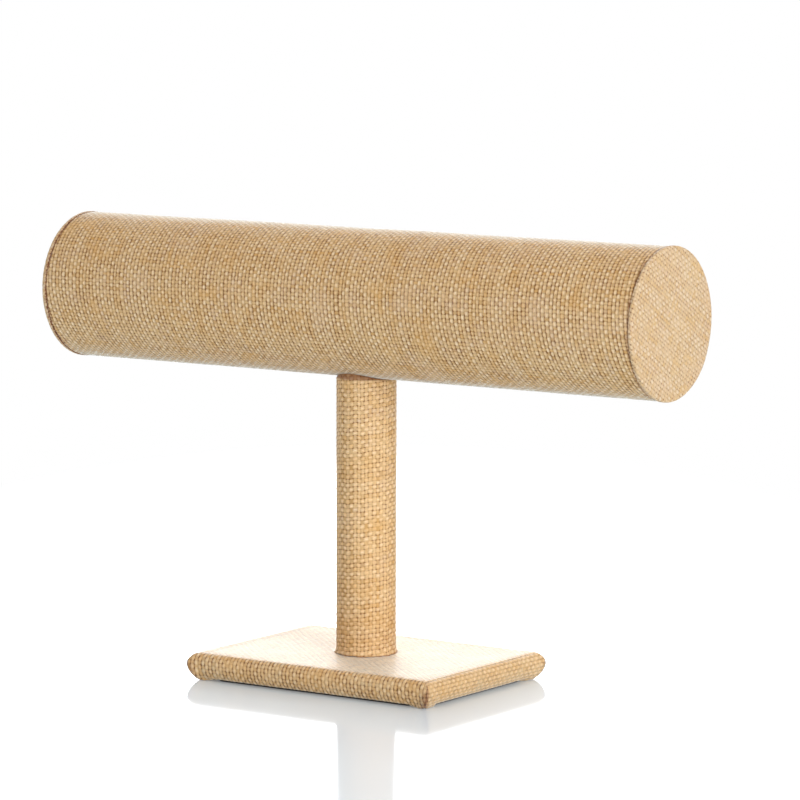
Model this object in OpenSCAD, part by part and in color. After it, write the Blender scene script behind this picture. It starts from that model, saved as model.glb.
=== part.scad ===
// Bracelet display stand: a round bar on a round post over a rectangular base,
// all three covered in coarse plain-woven cloth.
// The bar lies along X and the post stands on Z. Z = 0 is the surface it stands on.

/* [Bar] */
// Length of the bar over both end discs
bar_length = 279; // [180:1:400]
// Diameter of the bar over its cloth
bar_d = 58.5; // [46:0.5:80]
// Height of the bar's axis above the surface
bar_height = 150; // [115:1:230]
// Wall of the cardboard tube inside the bar
tube_wall = 3; // [2:0.1:5]
// Thickness of the plug in each end of the tube
plug_t = 9; // [5:0.5:16]
// Chamfer on the inner edge of each plug
plug_chamfer = 0.8; // [0.2:0.1:2]
// How far the bar's cloth is turned over each end
turn_over = 5.5; // [4:0.5:12]

/* [End discs] */
// How far each end disc stands proud of the bar's cloth
disc_proud = 0.3; // [0.1:0.1:1]
// Thickness of the board inside each end disc
disc_t = 0.5; // [0.5:0.1:2.5]
// Radius rounded on the rim of each end disc
disc_round = 1; // [0.4:0.1:1.2]
// Width of the cloth turned in behind each end disc
disc_hem = 9; // [5:0.5:16]
// Angle between the threads on the end discs and the vertical
disc_slant = 31; // [0:1:90]

/* [Post] */
// Diameter of the post over its cloth
post_d = 23.6; // [18:0.2:34]
// How far the sleeve's lower edge flares out
flare = 0.5; // [0.2:0.1:1.2]
// Height of the flare
flare_h = 2.4; // [1:0.2:5]
// Gap between the post's top and the bar's cloth
saddle_gap = 0.1; // [0.05:0.05:0.3]
// Direction of the sleeve's lap, as an angle from the bar
post_lap_at = 80; // [60:1:90]

/* [Base] */
// Width of the base, along the bar
base_w = 115; // [90:1:180]
// Depth of the base, across the bar
base_d = 84; // [66:1:140]
// Height of the base over the surface
base_t = 11; // [9:0.5:16]
// Radius of the base's upper edge
edge_round = 3.8; // [2.5:0.1:4.5]
// How far the base's lower edge is tucked in
edge_tuck = 4.4; // [3:0.1:6]
// Width of the cloth turned under the base
base_hem = 13; // [8:0.5:18]
// Reach of each folded corner along the two sides
fold_w = 9; // [5:0.5:14]
// How far the folded corners stand proud at the bottom
fold_t = 0.9; // [0.4:0.1:1.5]
// How far the folded corners stand proud at their upper edge
fold_step = 0.2; // [0.1:0.05:0.5]
// Gap between the folded corners and the surface
fold_lift = 0.15; // [0.05:0.05:0.4]
// Thickness of the lining under the base
lining_t = 1.1; // [0.6:0.1:1.6]
// How far the lining stays inside the base's foot
lining_inset = 0.6; // [0.2:0.1:2]

/* [Cloth] */
// Thickness of the cloth
cloth_t = 0.7; // [0.4:0.05:1]
// Film of glue under the cloth
glue = 0.1; // [0.05:0.05:0.2]
// Spacing of the threads
thread_pitch = 1.55; // [1.4:0.05:3]
// Depth of the grooves between the threads
thread_h = 0.15; // [0.05:0.05:0.2]
// Width of the lap where the cloth covers its own edge
lap_w = 10; // [5:0.5:14]
// Angle between the post and the start of the bar's lap
lap_margin = 14; // [8:1:25]

/* [Fixings] */
// Diameter of the wood screws
screw_d = 4; // [3:0.1:5]
// Diameter of the screw heads
head_d = 8; // [7:0.1:9]
// Height of the screw heads
head_h = 2.4; // [1.8:0.1:3]
// Clearance around a screw in its hole
screw_clear = 0.1; // [0.05:0.05:0.3]
// Depth of each screw in the post
screw_grip = 20; // [12:1:26]
// Width of the cross in the screw heads
cross_w = 1; // [0.7:0.1:1.3]
// Length of the cross in the screw heads
cross_l = 4.8; // [3.5:0.1:5.5]
// Diameter of the washer in the tube
washer_d = 14; // [11:0.5:18]
// Thickness of the washer
washer_t = 1.2; // [0.8:0.1:2]
// Depth of the flat seat under the washer
seat_cut = 0.4; // [0.2:0.1:0.8]
// Clearance around the washer in its seat
seat_clear = 0.3; // [0.1:0.1:0.6]
// Diameter of the driver hole in the tube
driver_hole = 9.5; // [9:0.5:12]

/* [Hidden] */
$fn = 240;

// Bar, from the cloth inwards
bar_r = bar_d / 2;
tube_r = bar_r - cloth_t - glue;
bore_r = tube_r - tube_wall;
disc_r = bar_r + disc_proud;
disc_stack = 2 * cloth_t + disc_t;
cover_length = bar_length - 2 * disc_stack;
tube_length = cover_length - 2 * cloth_t;

// Post, between the base and the bar
post_r = post_d / 2;
core_r = post_r - cloth_t - glue;
post_top = bar_height - bar_r;

// Base, from the surface upwards
tip_z = base_t - edge_round;
hem_z = lining_t;
board_z = lining_t + cloth_t + glue;

// Fixings
hole_r = screw_d / 2 + screw_clear;
seat_z = bar_height - bore_r - seat_cut;
lap_start = asin(post_d / bar_d) + lap_margin;
sides = [-1, 1];

// Every third point of an outline lies in the groove between two threads
function groove(i) = i % 3 == 0 ? thread_h : 0;

// Outline of a wrapped cloth: threads round a circle, the last ones climbing over its own edge
module threaded_circle(r, start) {
    lap = lap_w / r * 180 / PI;
    threads = round(2 * PI * r / thread_pitch);
    points = 3 * threads;
    polygon([
        for (i = [0:points])
            let (turn = i * 360 / points)
                let (climb = max(0, turn - 360 + lap) / lap * cloth_t)
                    (r + climb - groove(i)) * [cos(start + lap + turn), sin(start + lap + turn)]
    ]);
}

// Lays what is modelled on Z along the bar's axis, with its own X pointing down
module along_bar() {
    translate([0, 0, bar_height]) rotate([0, 90, 0]) children();
}

// Outline of the base's cloth from one side, with threads all over it or only down its edges,
// where a lid over the top leaves the top's form to the other outline
module threaded_profile(width, over_top) {
    low_r = (tip_z * tip_z + edge_tuck * edge_tuck) / (2 * edge_tuck);
    top_x = width / 2 - edge_round;
    low_x = width / 2 - low_r;
    first = over_top ? 0 : top_x;
    round_end = top_x + edge_round * PI / 2;
    last = round_end + low_r * asin(tip_z / low_r) * PI / 180;
    points = 3 * round((last - first) / thread_pitch);
    edge = [
        for (i = [0:points])
            let (s = first + i * (last - first) / points)
                let (upper = (s - top_x) / edge_round * 180 / PI)
                    let (lower = (s - round_end) / low_r * 180 / PI)
                        s < top_x ? [s, base_t - groove(i)]
                        : s < round_end ? [top_x, tip_z] + (edge_round - groove(i)) * [sin(upper), cos(upper)]
                        : [low_x, tip_z] + (low_r - groove(i)) * [cos(lower), -sin(lower)]
    ];
    lid = over_top ? [] : [[top_x, 2 * base_t]];
    half = concat(lid, edge);
    count = len(half) - 1;
    polygon(concat(half, [for (i = [0:count]) [-half[count - i][0], half[count - i][1]]]));
}

// Area inside one edge of the base: round above its widest line, tucked in below it
module edge_side(width, inset, tuck) {
    low_r = (tip_z * tip_z + tuck * tuck) / (2 * tuck);
    top_x = width / 2 - edge_round;
    low_x = width / 2 - low_r;
    intersection() {
        translate([-width, tip_z]) square([2 * width, edge_round - inset]);
        union() {
            translate([-width, tip_z]) square([width + top_x, edge_round]);
            translate([top_x, tip_z]) circle(edge_round - inset);
        }
    }
    intersection() {
        translate([-width, 0]) square([2 * width, tip_z]);
        union() {
            translate([-width, 0]) square([width + low_x, tip_z]);
            translate([low_x, tip_z]) circle(low_r - inset);
        }
    }
}

module edge_profile(width, inset, tuck) {
    intersection() {
        edge_side(width, inset, tuck);
        mirror([1, 0]) edge_side(width, inset, tuck);
    }
}

// The base's form, mitred at its corners, drawn in by inset and cut off below bottom
module base_form(inset, bottom, tuck) {
    intersection() {
        rotate([90, 0, 0])
            linear_extrude(height = 2 * base_d, center = true) edge_profile(base_w, inset, tuck);
        rotate([90, 0, 90])
            linear_extrude(height = 2 * base_w, center = true) edge_profile(base_d, inset, tuck);
        translate([-base_w, -base_d, bottom]) cube([2 * base_w, 2 * base_d, base_t]);
    }
}

// The same form with its threads: along the bar over the top, along each edge below it
module threaded_base() {
    intersection() {
        rotate([90, 0, 0])
            linear_extrude(height = 2 * base_d, center = true) threaded_profile(base_w, false);
        rotate([90, 0, 90])
            linear_extrude(height = 2 * base_w, center = true) threaded_profile(base_d, true);
        translate([-base_w, -base_d, hem_z]) cube([2 * base_w, 2 * base_d, base_t]);
    }
}

// Grooves between the threads of an end disc, cut from the plane Z = 0
module face_grooves() {
    reach = disc_r - disc_round - thread_h;
    rows = floor(reach / thread_pitch) - 1;
    groove_w = thread_pitch / 4;
    rotate([0, 0, -disc_slant])
        for (i = [-rows:rows]) {
            translate([i * thread_pitch, 0, 0]) rotate([90, 0, 0])
                linear_extrude(height = 2 * sqrt(reach * reach - pow(i * thread_pitch, 2)), center = true)
                    polygon([
                        [0, -thread_h], [1.5 * groove_w, thread_h / 2], [-1.5 * groove_w, thread_h / 2]
                    ]);
        }
}

// Plan of a rectangle whose corners are cut off on the diagonal
module cut_corners(width, depth, cut) {
    x = width / 2;
    y = depth / 2;
    polygon([
        [x - cut, y], [cut - x, y], [-x, y - cut], [-x, cut - y],
        [cut - x, -y], [x - cut, -y], [x, cut - y], [x, y - cut]
    ]);
}

// The cross that a driver turns, on the plane Z = 0
module driver_cross() {
    for (turn = [0, 90]) {
        rotate([0, 0, turn]) cube([cross_l, cross_w, head_h], center = true);
    }
}

// Pointed shank that starts at Z = 0 and goes up
module shank(length) {
    cylinder(r = screw_d / 2, h = length - screw_d);
    translate([0, 0, length - screw_d]) cylinder(r1 = screw_d / 2, r2 = 0.2, h = screw_d);
}

module bar_tube() {
    color("peru")
        difference() {
            along_bar() difference() {
                cylinder(r = tube_r, h = tube_length, center = true);
                cylinder(r = bore_r, h = tube_length + 1, center = true);
            }
            translate([0, 0, seat_z]) cylinder(r = washer_d / 2 + seat_clear, h = bore_r);
            cylinder(r = hole_r, h = bar_height);
            translate([0, 0, bar_height]) cylinder(r = driver_hole / 2, h = bar_d);
        }
}

module bar_cover() {
    color("tan")
        difference() {
            along_bar() {
                linear_extrude(height = cover_length, center = true) difference() {
                    threaded_circle(bar_r, lap_start);
                    circle(tube_r + glue);
                }
                for (side = sides) {
                    translate([0, 0, side * (cover_length - cloth_t) / 2])
                        linear_extrude(height = cloth_t, center = true) difference() {
                            circle(tube_r + 2 * glue);
                            circle(bar_r - turn_over);
                        }
                }
            }
            cylinder(r = hole_r, h = bar_height);
        }
}

// Screw that hangs the post from the tube, driven down through the tube's top hole
module bar_screw() {
    head_z = seat_z + washer_t;
    grip_z = post_top - screw_grip;
    color("silver") {
        translate([0, 0, head_z]) mirror([0, 0, 1]) shank(head_z - grip_z);
        translate([0, 0, head_z]) difference() {
            rotate_extrude() intersection() {
                square([head_d / 2, head_h]);
                translate([0, head_h - head_d]) circle(head_d);
            }
            translate([0, 0, head_h]) driver_cross();
        }
    }
}

module bar_washer() {
    color("lightgray")
        translate([0, 0, seat_z]) difference() {
            cylinder(d = washer_d, h = washer_t);
            translate([0, 0, -1]) cylinder(r = hole_r, h = washer_t + 2);
        }
}

// Plug in the tube, flush with its end, with its inner edge chamfered
module plug(side) {
    r = bore_r - glue;
    color("burlywood")
        translate([side * tube_length / 2, 0, bar_height]) rotate([0, -90 * side, 0]) rotate_extrude()
            polygon([[0, 0], [r, 0], [r, plug_t - plug_chamfer], [r - plug_chamfer, plug_t], [0, plug_t]]);
}

module end_board(side) {
    color("gray")
        translate([side * (cover_length / 2 + cloth_t), 0, bar_height]) rotate([0, 90 * side, 0])
            cylinder(r = disc_r - cloth_t - glue, h = disc_t);
}

// Cloth over an end disc: face, rounded rim and the hem turned in behind the board
module end_cover(side) {
    color("wheat")
        translate([side * cover_length / 2, 0, bar_height]) rotate([0, 90 * side, 0])
            difference() {
                rotate_extrude() difference() {
                    union() {
                        square([disc_r - disc_round, disc_stack]);
                        square([disc_r, disc_stack - disc_round]);
                        intersection() {
                            translate([disc_r - disc_round, disc_stack - disc_round]) circle(disc_round);
                            square([disc_r, disc_stack]);
                        }
                    }
                    translate([0, cloth_t]) square([disc_r - cloth_t, disc_t]);
                    square([disc_r - disc_hem, cloth_t]);
                }
                translate([0, 0, disc_stack]) face_grooves();
            }
}

module post_core() {
    color("burlywood")
        difference() {
            translate([0, 0, base_t]) cylinder(r = core_r, h = bar_height - base_t);
            along_bar() cylinder(r = bar_r + saddle_gap, h = bar_d, center = true);
            translate([0, 0, base_t - 1]) cylinder(r = hole_r, h = screw_grip + screw_clear + 1);
            translate([0, 0, post_top - screw_grip - screw_clear]) cylinder(r = hole_r, h = bar_r);
        }
}

// Sleeve round the post: lapped at the back, flared at its foot, cut to the bar at its top
module post_cover() {
    color("tan")
        difference() {
            union() {
                translate([0, 0, base_t])
                    linear_extrude(height = bar_height - base_t) threaded_circle(post_r, post_lap_at);
                translate([0, 0, base_t]) cylinder(r1 = post_r + flare, r2 = core_r + glue, h = flare_h);
            }
            cylinder(r = core_r + glue, h = bar_height + 1);
            along_bar() cylinder(r = bar_r + saddle_gap, h = bar_d, center = true);
        }
}

module base_board() {
    screw_cone = head_d / 2 + screw_clear;
    color("sienna")
        difference() {
            base_form(cloth_t + glue, board_z, edge_tuck);
            cylinder(r = hole_r, h = base_t);
            translate([0, 0, board_z]) cylinder(r1 = screw_cone, r2 = hole_r, h = head_h);
        }
}

// Cloth pulled over the board, turned under it all round and folded at its corners
module base_cover() {
    window = 2 * (edge_tuck + base_hem);
    color("tan")
        difference() {
            union() {
                threaded_base();
                difference() {
                    base_form(-fold_step, fold_lift, edge_tuck + fold_step - fold_t);
                    linear_extrude(height = base_t) cut_corners(base_w, base_d, fold_w);
                    translate([-base_w, -base_d, tip_z]) cube([2 * base_w, 2 * base_d, base_t]);
                }
            }
            base_form(cloth_t, hem_z + cloth_t, edge_tuck);
            translate([0, 0, hem_z + base_t / 4])
                cube([base_w - window, base_d - window, base_t / 2], center = true);
            cylinder(r = hole_r, h = base_t + 1);
        }
}

module base_lining() {
    cut = fold_w - 2 * lining_inset;
    inset = 2 * (edge_tuck + lining_inset);
    color("darkslategray")
        linear_extrude(height = lining_t) cut_corners(base_w - inset, base_d - inset, cut);
}

// Countersunk screw that holds the post, driven up through the board before it is lined
module base_screw() {
    color("silver")
        translate([0, 0, board_z]) difference() {
            union() {
                cylinder(r1 = head_d / 2, r2 = screw_d / 2, h = head_h);
                shank(base_t + screw_grip - board_z);
            }
            driver_cross();
        }
}

bar_tube();
bar_cover();
bar_screw();
bar_washer();
plug(-1);  // left_plug
end_board(-1);  // left_end_board
end_cover(-1);  // left_end_cover
plug(1);  // right_plug
end_board(1);  // right_end_board
end_cover(1);  // right_end_cover
post_core();
post_cover();
base_board();
base_cover();
base_lining();
base_screw();
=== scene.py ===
# Bracelet display stand: a cloth-covered bar on a post over a base.
# The four cloths are real plain weave: every thread crossing is in the mesh.
import math
import bpy
import bmesh
import numpy as np
from mathutils import Matrix, Vector


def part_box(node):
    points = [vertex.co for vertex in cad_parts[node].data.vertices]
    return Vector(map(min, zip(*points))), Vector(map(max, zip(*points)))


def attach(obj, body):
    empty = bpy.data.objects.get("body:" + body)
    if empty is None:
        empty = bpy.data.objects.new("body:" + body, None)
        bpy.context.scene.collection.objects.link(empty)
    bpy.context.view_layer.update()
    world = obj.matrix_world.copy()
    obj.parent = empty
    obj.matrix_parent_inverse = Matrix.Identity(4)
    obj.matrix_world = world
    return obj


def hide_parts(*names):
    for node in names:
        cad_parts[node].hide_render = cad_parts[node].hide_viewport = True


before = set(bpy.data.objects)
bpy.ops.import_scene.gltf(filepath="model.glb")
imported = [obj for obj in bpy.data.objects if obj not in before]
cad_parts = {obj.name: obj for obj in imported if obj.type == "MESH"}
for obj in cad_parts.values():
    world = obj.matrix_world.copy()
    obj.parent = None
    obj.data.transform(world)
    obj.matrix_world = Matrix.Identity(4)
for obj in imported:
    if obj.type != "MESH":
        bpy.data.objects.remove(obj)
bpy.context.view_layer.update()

mm = 0.001
barLow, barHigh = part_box("bar_cover")
baseLow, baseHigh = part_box("base_cover")
coverLength = barHigh.x - barLow.x
barAxis = (barLow.z + barHigh.z) / 2
baseTop = baseHigh.z
print("frame loaded:", len(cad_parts), "nodes")


# Thread pattern shared by the meshes and the materials. One unit is one thread.
weave = {
    "lightRise": 0.36,  # how far a light thread climbs over a dark one
    "lightBody": 1.12,  # roundness of a light thread
    "darkRise": 0.32,
    "darkBody": 0.66,
    "wander": 0.17,     # how far threads stray from their place, in threads
    "slub": 0.25,       # how much threads thicken and thin
}
evenWeave = weave | {"lightBody": 0.84, "darkRise": 0.36, "darkBody": 0.84}


# Smooth random values on a grid, so that neighbours belong together
def smoothField(shape, cells, seed):
    rows, columns = (max(2, int(c) + 1) for c in cells)
    coarse = np.random.default_rng(seed).uniform(-1, 1, (rows, columns))
    alongRows = np.linspace(0, rows - 1, shape[0])
    alongColumns = np.linspace(0, columns - 1, shape[1])

    def easedSteps(places, last):
        whole = np.minimum(np.floor(places).astype(int), last - 1)
        part = places - whole
        return whole, part * part * (3 - 2 * part)

    r, rPart = easedSteps(alongRows, rows - 1)
    c, cPart = easedSteps(alongColumns, columns - 1)
    near = coarse[r][:, c] * (1 - cPart) + coarse[r][:, c + 1] * cPart
    far = coarse[r + 1][:, c] * (1 - cPart) + coarse[r + 1][:, c + 1] * cPart
    return near * (1 - rPart[:, None]) + far * rPart[:, None]


# Height of the weave where light thread u crosses dark thread v
def weaveHeight(u, v, form=weave):
    lightSign = 1 - 2 * np.mod(np.floor(u), 2)
    darkSign = 1 - 2 * np.mod(np.floor(v), 2)
    lightRound = 1 - (2 * np.mod(u, 1) - 1) ** 2
    darkRound = 1 - (2 * np.mod(v, 1) - 1) ** 2
    light = form["lightRise"] * lightSign * np.cos(np.pi * (v - 0.5)) + form["lightBody"] * lightRound
    dark = form["darkBody"] * darkRound - form["darkRise"] * darkSign * np.cos(np.pi * (u - 0.5))
    return np.maximum(light, dark) - 0.8


# Faces of a rectangular grid of points
def gridFaces(rows, columns):
    corner = (np.arange(rows - 1)[:, None] * columns + np.arange(columns - 1)[None, :]).ravel()
    return np.stack([corner, corner + columns, corner + columns + 1, corner + 1], 1)


# Drops the points that no face uses
def onlyUsed(faces, points, threads, flatMap, paintedShades):
    used = np.unique(faces)
    renumber = np.zeros(points.reshape(-1, 3).shape[0], int)
    renumber[used] = np.arange(len(used))
    return (
        renumber[faces], points.reshape(-1, 3)[used], threads.reshape(-1, 2)[used],
        flatMap.reshape(-1, 2)[used], paintedShades.ravel()[used])


# A mesh piece with its thread coordinates, a flat map for baking, how much painted shade its folds,
# creases and seams get, and where its painted gap shade is eased
def makePiece(name, faces, points, threads, flatMap, paintedShades, material, gapShadeEase=None):
    mesh = bpy.data.meshes.new(name)
    mesh.from_pydata(points.reshape(-1, 3).tolist(), [], faces.tolist())
    corners = np.empty(len(mesh.loops), int)
    mesh.loops.foreach_get("vertex_index", corners)
    for title, values in (("weave", threads), ("OFBake", flatMap)):
        layer = mesh.uv_layers.new(name=title)
        layer.data.foreach_set("uv", values.reshape(-1, 2)[corners].astype(np.float32).ravel())
    mesh.uv_layers["OFBake"].active_render = True
    layer = mesh.attributes.new("paintedShade", "FLOAT", "POINT")
    layer.data.foreach_set("value", np.asarray(paintedShades, np.float32).ravel())
    layer = mesh.attributes.new("gapShadeEase", "FLOAT", "POINT")
    layer.data.foreach_set("value", np.asarray(paintedShades * 0 if gapShadeEase is None else gapShadeEase, np.float32).ravel())
    mesh.shade_smooth()
    mesh.materials.append(material)
    piece = bpy.data.objects.new(name, mesh)
    bpy.context.scene.collection.objects.link(piece)
    return piece


# Node helpers
def join(tree, value, socket):
    if isinstance(value, (int, float, tuple)):
        socket.default_value = value
    else:
        tree.links.new(value, socket)


def calc(tree, operation, *values):
    node = tree.nodes.new("ShaderNodeMath")
    node.operation = operation
    for place, value in enumerate(values):
        join(tree, value, node.inputs[place])
    return node.outputs[0]


def between(tree, value, low, high, toLow=0.0, toHigh=1.0, kind="SMOOTHSTEP"):
    node = tree.nodes.new("ShaderNodeMapRange")
    node.interpolation_type = kind
    join(tree, value, node.inputs["Value"])
    for title, number in (("From Min", low), ("From Max", high), ("To Min", toLow), ("To Max", toHigh)):
        node.inputs[title].default_value = number
    return node.outputs[0]


def mixColour(tree, share, first, second, blend="MIX"):
    node = tree.nodes.new("ShaderNodeMix")
    node.data_type = "RGBA"
    node.blend_type = blend
    join(tree, share, node.inputs["Factor"])
    join(tree, first, node.inputs[6])
    join(tree, second, node.inputs[7])
    return node.outputs[2]


def placed(tree, x, y, z=0.0):
    node = tree.nodes.new("ShaderNodeCombineXYZ")
    for place, value in enumerate((x, y, z)):
        join(tree, value, node.inputs[place])
    return node.outputs[0]


def grainy(tree, where, scale, detail=2.0, rough=0.5):
    node = tree.nodes.new("ShaderNodeTexNoise")
    join(tree, where, node.inputs["Vector"])
    node.inputs["Scale"].default_value = scale
    node.inputs["Detail"].default_value = detail
    node.inputs["Roughness"].default_value = rough
    return node.outputs["Fac"]


def dice(tree, where):
    node = tree.nodes.new("ShaderNodeTexWhiteNoise")
    node.noise_dimensions = "2D"
    join(tree, where, node.inputs["Vector"])
    return node.outputs["Value"]


def srgb(red, green, blue):
    def linear(c):
        c = c / 255
        return c / 12.92 if c <= 0.04045 else ((c + 0.055) / 1.055) ** 2.4
    return (linear(red), linear(green), linear(blue), 1.0)


def newMaterial(name):
    material = bpy.data.materials.new(name)
    material.use_nodes = True
    tree = material.node_tree
    tree.nodes.clear()
    shader = tree.nodes.new("ShaderNodeBsdfPrincipled")
    output = tree.nodes.new("ShaderNodeOutputMaterial")
    tree.links.new(shader.outputs[0], output.inputs[0])
    return material, tree, shader


clothLook = {
    "coreHighlight": srgb(255, 240, 214),        # painted highlight on the middle of a light thread where it lies on top
    "highlightShare": 0.30,                  # and how strong that painted highlight is
    "light": srgb(230, 198, 153),       # threads round the bar and over the base
    "lightWarm": srgb(220, 178, 121),
    "dark": srgb(220, 186, 136),        # threads along the bar
    "darkWarm": srgb(192, 151, 96),
    "deepFibreAndShade": srgb(134, 94, 42),          # dark fibres, and painted shade on threads where they dive under
    "gapShade": srgb(102, 55, 6),            # painted shade between the threads
    "golden": srgb(208, 158, 88),
    "rosy": srgb(204, 172, 142),
    "cellTone": 0.45,                   # how much each crossing has a tone of its own
    "threadTone": 0.75,                 # and each thread
    # painted shade for folds, creases and seams
    "paintedShade": srgb(140, 84, 40),
    "patch": 90.0,                      # blotches per metre
    "bump": 0.12 * mm,
    "sheen": 0.6,
    "sheenRough": 0.22,
    "coat": 0.0,
    "rough": 0.6,
    "sunkShade": 0.68,                       # how dark the painted shade in the gaps between the threads is
    "lightEdgeShade": 0.22,                  # and the painted shade lines beside light and dark threads
    "darkEdgeShade": 0.58,
    "through": 0.25,                    # how far the dark threads' painted shade lines show over light ones
    "sunkTop": 0.92,                    # height below which the painted gap shade begins
    "diveShade": 0.24,                       # how much painted shade a thread gets as it dives
    "uneven": 0.55,                     # how much the painted gap shade differs from gap to gap
    "sheenTint": (0.98, 0.99, 1.0, 1.0),
    "gloss": 0.3,
    "coatRough": 0.35,
}


# Plain weave seen from the thread coordinates: light threads over and under darker ones
def makeCloth(name, seed, look, form=weave):
    material, tree, shader = newMaterial(name)
    threads = tree.nodes.new("ShaderNodeUVMap")
    threads.uv_map = "weave"
    split = tree.nodes.new("ShaderNodeSeparateXYZ")
    tree.links.new(threads.outputs[0], split.inputs[0])
    u, v = split.outputs[0], split.outputs[1]
    place = tree.nodes.new("ShaderNodeTexCoord").outputs["Object"]
    uWhole, vWhole = calc(tree, "FLOOR", u), calc(tree, "FLOOR", v)
    uSide = calc(tree, "MULTIPLY_ADD", calc(tree, "FRACT", u), 2.0, -1.0)
    vSide = calc(tree, "MULTIPLY_ADD", calc(tree, "FRACT", v), 2.0, -1.0)

    def sign(whole):
        return calc(tree, "MULTIPLY_ADD", calc(tree, "FLOORED_MODULO", whole, 2.0), -2.0, 1.0)

    def wave(along, sign):
        turned = calc(tree, "COSINE", calc(tree, "MULTIPLY_ADD", along, math.pi, -math.pi / 2))
        return calc(tree, "MULTIPLY", turned, sign)

    def rounded(side):
        return calc(tree, "SUBTRACT", 1.0, calc(tree, "MULTIPLY", side, side))

    # Slow changes along each thread, and one value that it keeps
    def perThread(whole, along, step):
        spread = calc(tree, "MULTIPLY", dice(tree, placed(tree, whole, seed + step)), 90.0)
        where = placed(tree, spread, calc(tree, "MULTIPLY", along, 0.11), seed + step)
        slow = grainy(tree, where, 1.0, 3.0, 0.6)
        fixed = dice(tree, placed(tree, whole, seed + step + 7))
        return slow, fixed

    lightSlow, lightFixed = perThread(uWhole, v, 0)
    darkSlow, darkFixed = perThread(vWhole, u, 3)
    lightHue, lightTint = perThread(uWhole, v, 11)
    darkHue, darkTint = perThread(vWhole, u, 14)
    lightWave, darkWave = wave(v, sign(uWhole)), calc(tree, "MULTIPLY", wave(u, sign(vWhole)), -1.0)
    lightThick = between(tree, lightSlow, 0.3, 0.7, 1 - weave["slub"], 1 + weave["slub"])
    darkThick = between(tree, darkSlow, 0.3, 0.7, 1 - weave["slub"], 1 + weave["slub"])

    def threadHeight(waved, rise, side, thick, body):
        round = calc(tree, "MULTIPLY", calc(tree, "MULTIPLY", rounded(side), thick), body)
        return calc(tree, "MULTIPLY_ADD", waved, rise, round)

    lightHeight = threadHeight(lightWave, form["lightRise"], uSide, lightThick, form["lightBody"])
    darkHeight = threadHeight(darkWave, form["darkRise"], vSide, darkThick, form["darkBody"])
    height = calc(tree, "MAXIMUM", lightHeight, darkHeight)
    lightOver = between(tree, calc(tree, "SUBTRACT", lightHeight, darkHeight), -0.15, 0.15)

    # Fibres run along each thread, and every crossing has its own tone
    def stretched(uScale, vScale):
        where = placed(tree, calc(tree, "MULTIPLY", u, uScale), calc(tree, "MULTIPLY", v, vScale), seed)
        return grainy(tree, where, 1.0, 3.0, 0.65)

    lightFibre, darkFibre = stretched(7.0, 1.1), stretched(1.1, 7.0)
    cell = dice(tree, placed(tree, calc(tree, "ADD", uWhole, 0.37), calc(tree, "ADD", vWhole, seed)))

    def threadColour(slow, fixed, hue, tint, fibre, plain, warm):
        tone = calc(tree, "MULTIPLY_ADD", slow, 1.1, calc(tree, "MULTIPLY", fixed, look["threadTone"]))
        tone = calc(tree, "MULTIPLY_ADD", cell, look["cellTone"], tone)
        colour = mixColour(tree, between(tree, tone, 0.50, 1.45), warm, plain)
        shift = calc(tree, "MULTIPLY_ADD", tint, 0.35, hue)
        colour = mixColour(tree, between(tree, shift, 0.70, 0.98, 0.0, 0.7), colour, look["golden"])
        colour = mixColour(tree, between(tree, shift, 0.58, 0.34, 0.0, 0.6), colour, look["rosy"])
        return mixColour(tree, between(tree, fibre, 0.40, 0.62, 0.30, 0.0), colour, look["deepFibreAndShade"])

    lightColour = threadColour(
        lightSlow, lightFixed, lightHue, lightTint, lightFibre, look["light"], look["lightWarm"])
    darkColour = threadColour(
        darkSlow, darkFixed, darkHue, darkTint, darkFibre, look["dark"], look["darkWarm"])
    # Painted shade on each thread where it dives under the other
    lightDiveShade = between(tree, lightWave, 0.5, -0.6, 0.0, look["diveShade"])
    darkDiveShade = between(tree, darkWave, 0.5, -0.6, 0.0, look["diveShade"])
    lightColour = mixColour(tree, lightDiveShade, lightColour, look["deepFibreAndShade"])
    darkColour = mixColour(tree, darkDiveShade, darkColour, look["deepFibreAndShade"])
    # Painted highlight along the middle of each light thread where it lies on top
    highlightMask = between(tree, calc(tree, "ABSOLUTE", uSide), 0.05, 0.60, look["highlightShare"], 0.0)
    highlightMask = calc(tree, "MULTIPLY", highlightMask, between(tree, lightWave, -0.1, 0.7))
    highlightMask = calc(tree, "MULTIPLY", highlightMask, between(tree, cell, 0.0, 1.0, 0.4, 1.3, "LINEAR"))
    lightColour = mixColour(tree, highlightMask, lightColour, look["coreHighlight"])
    colour = mixColour(tree, lightOver, darkColour, lightColour)
    # Painted shade: the lower the cloth lies between its threads, the darker it is painted, and some gaps
    # are wider than others
    uNear, vNear = calc(tree, "ROUND", u), calc(tree, "ROUND", v)
    opening = dice(tree, placed(tree, calc(tree, "ADD", uNear, 0.21), calc(tree, "ADD", vNear, seed)))
    opened = between(tree, opening, 0.0, 1.0, 1 - look["uneven"], 1 + look["uneven"], "LINEAR")
    sunkShade = between(tree, height, 0.15, look["sunkTop"], look["sunkShade"], 0.0)
    beside = between(tree, calc(tree, "ABSOLUTE", uSide), 0.5, 1.02, 0.0, look["lightEdgeShade"])
    under = between(tree, calc(tree, "ABSOLUTE", vSide), 0.5, 1.02, 0.0, look["darkEdgeShade"])
    shown = between(tree, lightOver, 0.0, 1.0, 1.0, look["through"], "LINEAR")
    under = calc(tree, "MULTIPLY", under, shown)
    gapShading = calc(tree, "ADD", sunkShade, calc(tree, "MAXIMUM", beside, under))
    gapShading = calc(tree, "MINIMUM", calc(tree, "MULTIPLY", gapShading, opened), 0.93)
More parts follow.
